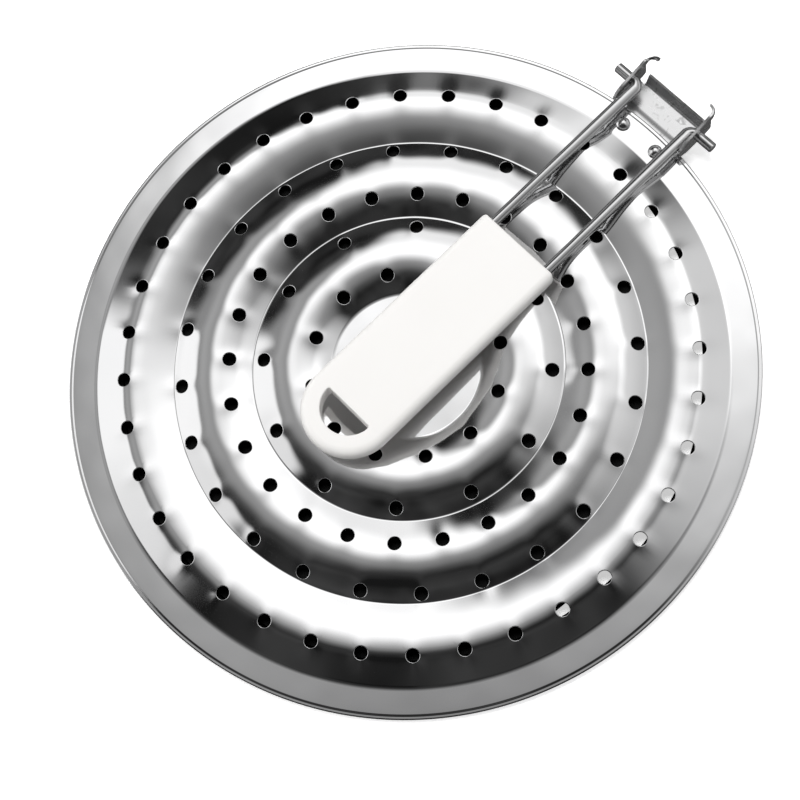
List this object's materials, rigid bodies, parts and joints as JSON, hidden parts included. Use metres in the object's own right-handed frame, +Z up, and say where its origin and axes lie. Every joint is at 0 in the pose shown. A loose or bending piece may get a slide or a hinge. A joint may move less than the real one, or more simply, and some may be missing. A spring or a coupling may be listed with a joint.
{
  "type": "perforated pan lid",
  "caption": "Round pressed-steel pan lid with concentric perforated waves, a riveted hinge bracket and a wire handle with a plastic grip that folds flat.",
  "frame": {"origin": "centre of the underside of the flat pad in the middle of the disc", "axes": "+Z up through the disc's middle, +X from the middle towards the hinge bracket, +Y along the hinge axis"},
  "size_m": [0.278, 0.26, 0.0196],
  "materials": {
    "pressed_steel": "polished",
    "bracket_steel": "polished",
    "rivet_steel": "polished",
    "wire_steel": "polished",
    "grip_plastic": "satin"
  },
  "bodies": {
    "lid": {"perforated_disc": "pressed_steel", "hinge_bracket": "bracket_steel", "rivet_1": "rivet_steel", "rivet_2": "rivet_steel"},
    "handle": {"handle_wire": "wire_steel", "grip": "grip_plastic"}
  },
  "joints": [
    {"name": "handle_fold", "type": "hinge", "parent": "lid", "child": "handle", "pos_m": [0.1375, 0, 0.005], "axis": [0, 1, 0], "range_deg": [0, 171.5]}
  ]
}
